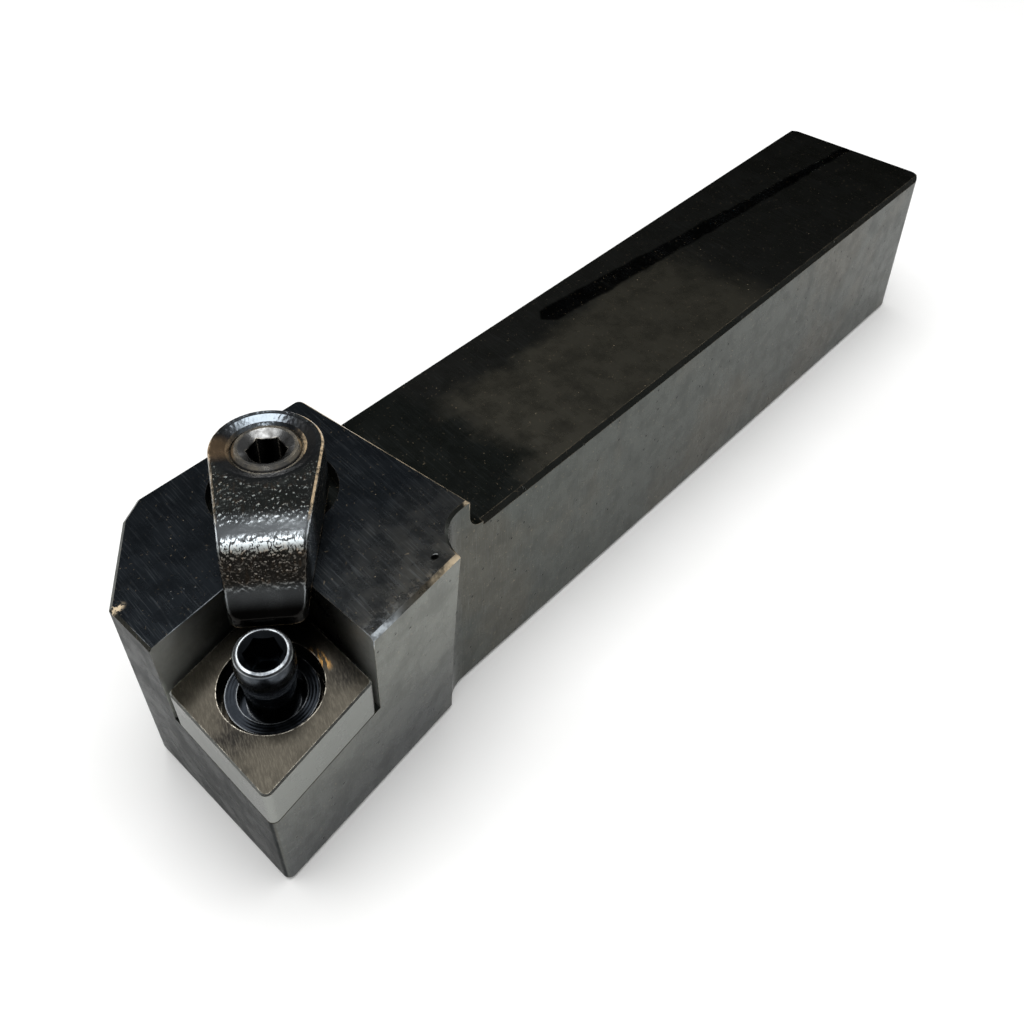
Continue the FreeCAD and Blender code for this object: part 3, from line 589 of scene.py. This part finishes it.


# Steel, forged and blackened: pebbled scale that glints with painted bronze glints, dished eye with painted
# highlights, a painted highlight on the bend, and a tip in painted reflection and shade
def forgedSteel():
    look = clampLook
    material, tree, shader = newMaterial("ForgedSteelBlackened")
    at = addNode(tree, "TexCoord")
    x, y = addNode(tree, "SeparateXYZ", at)[:2]
    nz = addNode(tree, "SeparateXYZ", addNode(tree, "TexCoord", output="Normal"))[2]
    turn = look["turn"]
    fromX = addNode(tree, "Math", "SUBTRACT", x, look["eyePlace"][0])
    fromY = addNode(tree, "Math", "SUBTRACT", y, look["eyePlace"][1])
    along = addNode(tree, "Math", "ADD", product(tree, fromX, math.cos(turn)),
                    product(tree, fromY, math.sin(turn)))
    across = addNode(tree, "Math", "SUBTRACT", product(tree, fromY, math.cos(turn)),
                     product(tree, fromX, math.sin(turn)))
    pebble = addNode(tree, "TexNoise", addNode(tree, "Mapping", "TEXTURE", at, (0, 0, turn), (1.7, 1, 1)),
                     1 / look["pebble"], 0.8, 0.4)
    broad = addNode(tree, "TexNoise", at, 1 / 0.004, 3, 0.55)

    # Zones from the eye to the tip
    upper = above(tree, nz, 0.5, 0.2)
    toTip = above(tree, along, look["tipFrom"], 0.0004)
    nose = product(tree, above(tree, along, look["noseFrom"], 0.0006),
                   below(tree, along, look["tipFrom"], 0.0004))
    shadedLip = above(tree, along, look["lipFrom"], 0.0006)
    bend = product(tree, above(tree, along, look["bendFrom"], 0.0016),
                   below(tree, along, look["bendTo"], 0.0010))
    eye = addNode(tree, "MapRange", "SMOOTHSTEP", ringDistance(tree, at, look["eyePlace"], (0, 0, 1)),
                  *look["eyeEdge"], 1.0, 0.0)
    coarse = product(tree, addNode(tree, "Math", "SUBTRACT", 1.0, toTip),
                     addNode(tree, "MapRange", "SMOOTHSTEP", eye, 0.0, 1.0, 1.0, 0.08),
                     addNode(tree, "MapRange", "SMOOTHSTEP", bend, 0.0, 1.0, 1.0, 0.07))

    # Painted glints: bronze on the tops of the pebbles
    glint = product(tree, addNode(tree, "MapRange", "SMOOTHSTEP", pebble, 0.54, 0.66),
                    addNode(tree, "MapRange", "SMOOTHSTEP", broad, 0.40, 0.60, 0.3, 1.0), coarse)
    tone = addNode(tree, "Mix", "RGBA", product(tree, glint, 0.24), colour(look["scale"]),
                   colour(look["paintedGlintBronze"]))
    tone = addNode(tree, "Mix", "RGBA", product(tree, eye, upper), tone, colour(look["eye"]))
    # Painted highlights on the dished eye: pale bluish at its rear, brownish at its side
    tone = addNode(tree, "Mix", "RGBA",
                   product(tree, upper, spot(tree, at, look["rearHighlightPlace"], look["rearHighlightReach"], 0.45)), tone,
                   colour(look["eyeRearHighlight"]))
    tone = addNode(tree, "Mix", "RGBA",
                   product(tree, upper, spot(tree, at, look["sideHighlightPlace"], look["sideHighlightReach"], 0.3), 0.8),
                   tone, colour(look["eyeSideHighlight"]))
    # Painted highlight: a bright band across the bend, also on the clamp's sides
    tone = addNode(tree, "Mix", "RGBA", bend, tone, colour(look["bend"]))
    tone = addNode(tree, "Mix", "RGBA", product(tree, nose, 0.6), tone, colour(look["nose"]))
    # Painted reflection and shade: the tip painted grey, its lowest lip dark
    tone = addNode(tree, "Mix", "RGBA", toTip, tone,
                   addNode(tree, "Mix", "RGBA", shadedLip, colour(look["smooth"]), colour(look["sootAndShade"])))

    # Wear: all edges a little, the rounded near edge most
    broken = addNode(tree, "MapRange", "SMOOTHSTEP", addNode(tree, "TexNoise", at, 1 / 0.0011, 4, 0.7),
                     0.34, 0.56, 0.25, 1.0)
    rounded = product(tree, above(tree, nz, 0.52, 0.1), below(tree, nz, 0.93, 0.03),
                      below(tree, along, look["edgeTo"], 0.0006))
    flanks = most(tree, above(tree, across, look["edgeFrom"], 0.0006),
                  product(tree, below(tree, across, -look["edgeFrom"], 0.0006), 0.35))
    edges = product(tree, edgeMask(tree, look["edgeWidth"], 0.03, 0.25), broken,
                    addNode(tree, "MapRange", "SMOOTHSTEP", toTip, 0.0, 1.0, 1.0, 0.35))
    wearAndHighlight = most(tree, edges, product(tree, rounded, flanks, broken))
    height = product(tree, pebble, addNode(tree, "Math", "ADD", product(tree, coarse, 0.9), 0.1))
    relief = addNode(tree, "Bump", height, look["pebbleDepth"], 1.0)
    fill(tree, shader, {
        "Base Color": addNode(tree, "Mix", "RGBA", product(tree, wearAndHighlight, 0.9), tone, colour(look["worn"])),
        "Metallic": addNode(tree, "MapRange", "SMOOTHSTEP", wearAndHighlight, 0.0, 1.0, 1.0, 0.5),
        "Roughness": addNode(tree, "Math", "ADD",
                             addNode(tree, "MapRange", "SMOOTHSTEP", broad, 0.3, 0.7, -0.04, 0.08),
                             look["roughness"]),
        "Normal": addNode(tree, "Bump", broad, 0.00012, 0.5, relief),
    })
    return material


def dress(piece, material):
    piece.data.materials.clear()
    piece.data.materials.append(material)


# Faces of the plain cylinders that stand in for a piece's threads
def plainFaces(shape, centre, along, radius):
    found = []
    for face in shape.faces:
        arms = [v.co - centre for v in face.verts]
        reach = [(arm - along * arm.dot(along)).length for arm in arms]
        if abs(face.normal.dot(along)) < 0.02 and all(abs(d - radius) < 2e-5 for d in reach):
            found.append(face)
    return found


# Depth and run-out are shares of the pitch
threadForm = {
    "sides": 72,
    "rowsPerPitch": 14,
    "depth": 0.61,
    "runOut": 0.4,
    "flank": 1.25,
    "crest": 0.125,
}


# One helical thread with its run-outs, hand 1 for right and -1 for left
def cutThread(shape, thread, centre, along, radius):
    low, high, pitch, hand = thread["low"], thread["high"], thread["pitch"], thread["hand"]
    form = threadForm
    side = along.orthogonal().normalized()
    other = along.cross(side)
    count = round((high - low) / pitch * form["rowsPerPitch"])
    runOut = form["runOut"] * pitch
    rows = []
    for row in range(count + 1):
        height = low + (high - low) * row / count
        fade = max(0.0, min(1.0, (height - low) / runOut, (high - height) / runOut))
        ring = []
        for step in range(form["sides"]):
            share = (step / form["sides"] - hand * height / pitch) % 1.0
            tooth = max(0.0, min(1.0, form["flank"] * (1 - abs(2 * share - 1)) - form["crest"]))
            here = radius - fade * form["depth"] * pitch * tooth
            angle = 2 * math.pi * step / form["sides"]
            arm = side * math.cos(angle) + other * math.sin(angle)
            ring.append(shape.verts.new(centre + along * height + arm * here))
        rows.append(ring)
    for under, over in zip(rows, rows[1:]):
        for step in range(form["sides"]):
            after = (step + 1) % form["sides"]
            face = shape.faces.new((under[step], under[after], over[after], over[step]))
            face.smooth = True


# Copy of a turned piece with real threads in place of its plain cylinders
def threaded(name, node, look):
    along = Vector(look["along"]).normalized()
    centre = Vector(look["centre"])
    shape = bmesh.new()
    shape.from_mesh(nodes[node].data)
    bmesh.ops.delete(shape, geom=plainFaces(shape, centre, along, look["threadRadius"]), context="FACES")
    for thread in look["threads"]:
        cutThread(shape, thread, centre, along, look["threadRadius"])
    mesh = bpy.data.meshes.new(name)
    shape.to_mesh(mesh)
    shape.free()
    piece = bpy.data.objects.new(name, mesh)
    bpy.context.scene.collection.objects.link(piece)
    piece.matrix_world = nodes[node].matrix_world.copy()
    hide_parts(node)
    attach(piece, node)
    return piece


pin = threaded("lockPinTurned", "lock_pin", pinLook)
screw = threaded("clampScrewTurned", "clamp_screw", screwLook)
print("threads made")

dress(nodes["holder_body"], blackenedSteel())
dress(nodes["shim"], groundCarbide())
dress(pin, turnedSteel("PinSteelTurned", pinLook))
dress(nodes["clamp"], forgedSteel())
dress(screw, turnedSteel("ScrewSteelTurned", screwLook))
print("materials set")


floorLook = {
    "size": 3.0,
    "colour": "F4F4F3",
    "grain": "FBFBFB",
    "grainSize": 0.02,
    "roughness": 0.75,
    "shine": 0.2,
}


# White paper, matt: soft shadows and no mirror image
def makeFloor(look):
    bpy.ops.mesh.primitive_plane_add(size=look["size"], location=(0, 0, 0))
    floor = bpy.context.object
    floor.name = "floor"
    material, tree, shader = newMaterial("PaperFloorMatt")
    grain = addNode(tree, "TexNoise", addNode(tree, "TexCoord"), 1 / look["grainSize"], 3, 0.55)
    fill(tree, shader, {
        "Base Color": addNode(tree, "Mix", "RGBA",
                              addNode(tree, "MapRange", "SMOOTHSTEP", grain, 0.3, 0.7, 0.0, 0.3),
                              colour(look["colour"]), colour(look["grain"])),
        "Roughness": look["roughness"],
        "Specular IOR Level": look["shine"],
    })
    dress(floor, material)


# The box's power is in watts
studio = {
    "boxPlace": (0.118, -0.010, 0.60),
    "boxSize": 0.54,
    "boxPower": 2.9,
    "boxTarget": (0.118, -0.010, 0.0),
    "roomForDiffuse": 0.68,
    "roomHorizon": 0.90,
    "roomUpper": 0.10,
    "horizonEnd": 0.02,
    "upperStart": 0.17,
}


# Pale room: white to the camera, soft grey to matt surfaces, darker overhead to shiny ones
def makeRoom(look):
    world = bpy.data.worlds.new("Room")
    bpy.context.scene.world = world
    world.use_nodes = True
    tree = world.node_tree
    tree.nodes.clear()
    height = addNode(tree, "SeparateXYZ", addNode(tree, "TexCoord", output="Generated"))[2]
    grey = addNode(tree, "MapRange", "SMOOTHSTEP", height, look["horizonEnd"], look["upperStart"],
                   look["roomHorizon"], look["roomUpper"])
    white = (1, 1, 1, 1)
    mirrored, diffuse, seen = [addNode(tree, "Background", white, strength)
                               for strength in (grey, look["roomForDiffuse"], 1.0)]
    first = addNode(tree, "MixShader", addNode(tree, "LightPath", output="Is Glossy Ray"), diffuse, mirrored)
    second = addNode(tree, "MixShader", addNode(tree, "LightPath"), first, seen)
    addNode(tree, "OutputWorld", second)


def makeLight(look):
    data = bpy.data.lights.new("SoftBox", "AREA")
    data.shape = "SQUARE"
    data.size = look["boxSize"]
    data.energy = look["boxPower"]
    light = bpy.data.objects.new("SoftBox", data)
    bpy.context.scene.collection.objects.link(light)
    light.location = look["boxPlace"]
    light.rotation_mode = "QUATERNION"
    aim = Vector(look["boxTarget"]) - Vector(look["boxPlace"])
    light.rotation_quaternion = aim.to_track_quat("-Z", "Y")


# Lens and sensor are in millimetres
cameraView = {
    "place": (0.12955, 0.07640, 0.11891),
    "turnAxis": (1.08598816, 2.36314342, -1.00381332),
    "lens": 41.98,
    "sensor": 36.0,
    "nearest": 0.005,
}


def makeCamera(look):
    axis = Vector(look["turnAxis"])
    turn = Quaternion(axis.normalized(), axis.length).to_matrix().transposed() @ Matrix.Diagonal((1, -1, -1))
    data = bpy.data.cameras.new("Camera")
    data.lens = look["lens"]
    data.sensor_width = look["sensor"]
    data.clip_start = look["nearest"]
    camera = bpy.data.objects.new("Camera", data)
    bpy.context.scene.collection.objects.link(camera)
    camera.matrix_world = Matrix.Translation(look["place"]) @ turn.to_4x4()
    bpy.context.scene.camera = camera


makeFloor(floorLook)
makeRoom(studio)
makeLight(studio)
print("room and light set")

makeCamera(cameraView)
bpy.context.scene.view_settings.view_transform = "Standard"
print("camera set")
